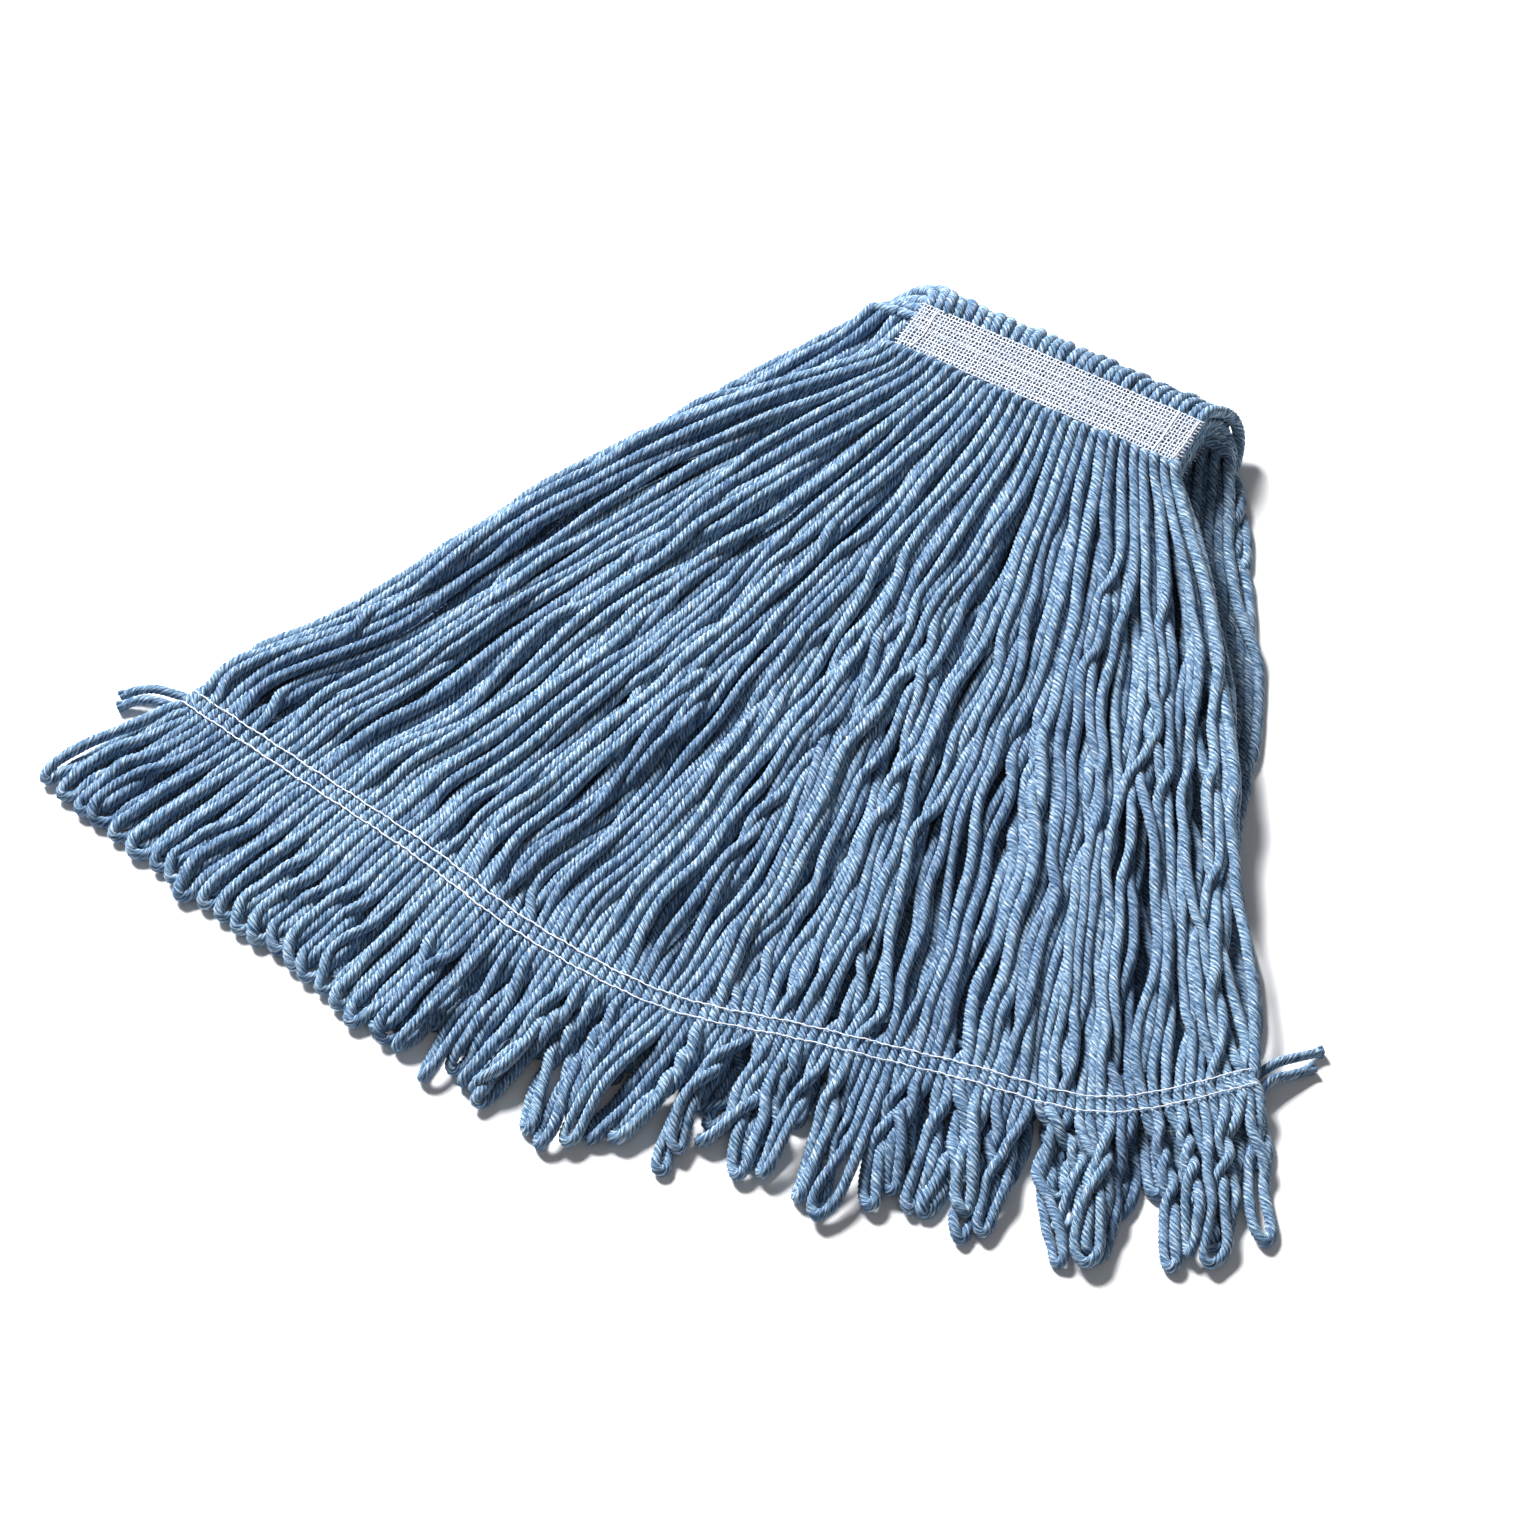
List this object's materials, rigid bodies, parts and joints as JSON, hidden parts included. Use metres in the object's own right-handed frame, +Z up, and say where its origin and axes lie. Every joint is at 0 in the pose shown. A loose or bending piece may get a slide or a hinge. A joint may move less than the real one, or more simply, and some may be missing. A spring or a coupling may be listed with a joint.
{
  "type": "string mop head",
  "caption": "Looped-end wet mop head of twisted yarn, folded in two over a narrow woven headband, with stitched tail bands and no handle.",
  "frame": {"origin": "on the floor, on the back half's underside, straight below the middle of the headband", "axes": "+Z up from the floor, +Y from the tail to the headband, +X to the right as seen from the tail"},
  "size_m": [0.5896, 0.4922, 0.0369],
  "materials": {
    "yarn": "heathered blue yarn of several twisted plies, taken as a cotton blend",
    "tape": "white woven mesh tape",
    "thread": "white polyester sewing thread"
  },
  "bodies": {
    "back_half": {"back_yarn_01": "yarn", "back_yarn_02": "yarn", "back_yarn_03": "yarn", "back_yarn_04": "yarn", "back_yarn_05": "yarn", "back_yarn_06": "yarn", "back_yarn_07": "yarn", "back_yarn_08": "yarn", "back_yarn_09": "yarn", "back_yarn_10": "yarn", "back_yarn_11": "yarn", "back_yarn_12": "yarn", "back_yarn_13": "yarn", "back_yarn_14": "yarn", "back_yarn_15": "yarn", "back_tail_cord_upper": "yarn", "back_tail_cord_lower": "yarn", "back_tail_stitch_upper": "thread", "back_tail_stitch_lower": "thread"},
    "fold": {"crown_row_1": "yarn", "crown_row_2": "yarn", "crown_row_3": "yarn", "crown_row_4": "yarn"},
    "front_half": {"front_yarn_01": "yarn", "front_yarn_02": "yarn", "front_yarn_03": "yarn", "front_yarn_04": "yarn", "front_yarn_05": "yarn", "front_yarn_06": "yarn", "front_yarn_07": "yarn", "front_yarn_08": "yarn", "front_yarn_09": "yarn", "front_yarn_10": "yarn", "front_yarn_11": "yarn", "front_yarn_12": "yarn", "front_yarn_13": "yarn", "front_yarn_14": "yarn", "front_yarn_15": "yarn", "headband_front_tape": "tape", "headband_back_tape": "tape", "headband_stitching": "thread", "headband_tack_left": "thread", "headband_tack_right": "thread", "front_tail_cord_upper": "yarn", "front_tail_cord_lower": "yarn", "front_tail_stitch_upper": "thread", "front_tail_stitch_lower": "thread"}
  },
  "joints": [
    {"name": "fold_lower", "type": "hinge", "parent": "back_half", "child": "fold", "pos_m": [0, 0.021, 0.012], "axis": [-1, 0, 0], "range_deg": [0, 91.6], "deforming": ["crown_row_1", "crown_row_2", "crown_row_3", "crown_row_4"]},
    {"name": "fold_upper", "type": "hinge", "parent": "fold", "child": "front_half", "pos_m": [0, 0.021, 0.0276], "axis": [-1, 0, 0], "range_deg": [0, 91.6]}
  ],
  "couplings": [
    {"joint": "fold_upper", "follows": "fold_lower", "ratio": 1}
  ]
}
